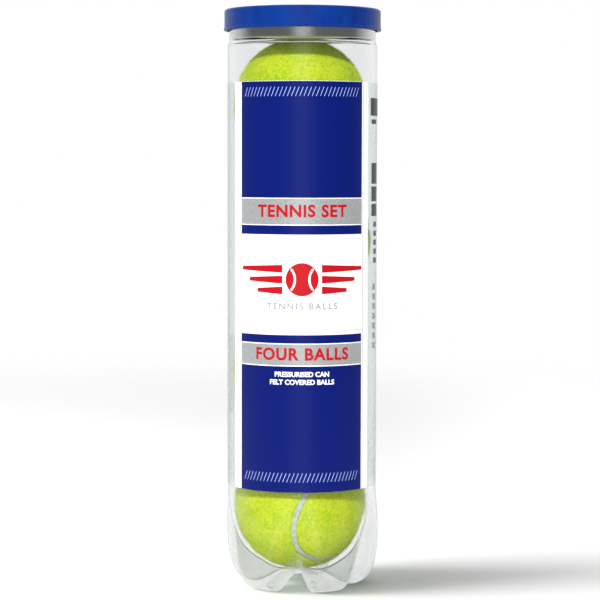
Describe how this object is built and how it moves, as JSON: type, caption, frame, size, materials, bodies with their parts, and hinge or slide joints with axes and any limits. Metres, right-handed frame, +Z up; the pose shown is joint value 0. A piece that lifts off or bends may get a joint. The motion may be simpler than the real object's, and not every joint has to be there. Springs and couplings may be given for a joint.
{
  "type": "tennis ball can",
  "caption": "Tall clear bottle on lobed feet with a seamed ring-pull end, push-on lid, wrap label and stacked felt balls.",
  "frame": {"origin": "centre of the plane that the can's feet stand on", "axes": "+Z up the can's axis towards the lid, -Y towards the printed front of the label, +X to the right seen from the front"},
  "size_m": [0.0776, 0.0776, 0.2853],
  "materials": {
    "clear_pet": "clear glossy stretch-blown PET",
    "end_aluminium": "bright lacquered sheet",
    "compound": "dull lining compound",
    "label_film": "printed clear film, satin",
    "lid_plastic": "translucent moulded polyethylene",
    "ball_felt": "needled optic yellow felt with raised nap",
    "seam_cement": "matt off-white vulcanised cement",
    "ball_rubber": "moulded rubber"
  },
  "bodies": {
    "can": {"can_body": "clear_pet", "end_ring": "end_aluminium", "sealing_compound": "compound", "label": "label_film"},
    "ball_1": {"ball_1_core_lower": "ball_rubber", "ball_1_core_upper": "ball_rubber", "ball_1_felt_a": "ball_felt", "ball_1_felt_b": "ball_felt", "ball_1_seam": "seam_cement"},
    "ball_2": {"ball_2_core_lower": "ball_rubber", "ball_2_core_upper": "ball_rubber", "ball_2_felt_a": "ball_felt", "ball_2_felt_b": "ball_felt", "ball_2_seam": "seam_cement"},
    "ball_3": {"ball_3_core_lower": "ball_rubber", "ball_3_core_upper": "ball_rubber", "ball_3_felt_a": "ball_felt", "ball_3_felt_b": "ball_felt", "ball_3_seam": "seam_cement"},
    "ball_4": {"ball_4_core_lower": "ball_rubber", "ball_4_core_upper": "ball_rubber", "ball_4_felt_a": "ball_felt", "ball_4_felt_b": "ball_felt", "ball_4_seam": "seam_cement"},
    "panel": {"tear_panel": "end_aluminium", "tab_island": "end_aluminium"},
    "tab": {"pull_tab": "end_aluminium"},
    "lid": {"overcap": "lid_plastic"}
  },
  "joints": [
    {"name": "ball_1_lift", "type": "slide", "parent": "can", "child": "ball_1", "axis": [0, 0, 1], "range_m": [0, 0.29]},
    {"name": "ball_2_lift", "type": "slide", "parent": "ball_1", "child": "ball_2", "axis": [0, 0, 1], "range_m": [0, 0.225]},
    {"name": "ball_3_lift", "type": "slide", "parent": "ball_2", "child": "ball_3", "axis": [0, 0, 1], "range_m": [0, 0.16]},
    {"name": "ball_4_lift", "type": "slide", "parent": "ball_3", "child": "ball_4", "axis": [0, 0, 1], "range_m": [0, 0.095]},
    {"name": "panel_lift", "type": "slide", "parent": "ball_4", "child": "panel", "axis": [0, 0, 1], "range_m": [0, 0.05]},
    {"name": "lid_lift", "type": "slide", "parent": "panel", "child": "lid", "axis": [0, 0, 1], "range_m": [0, 0.06]},
    {"name": "tab_hinge", "type": "hinge", "parent": "panel", "child": "tab", "pos_m": [0, -0.0298, 0.27372], "axis": [1, 0, 0], "range_deg": [0, 90]}
  ],
  "couplings": [
    {"joint": "tab_hinge", "follows": "lid_lift", "rad_per_m": 26}
  ]
}
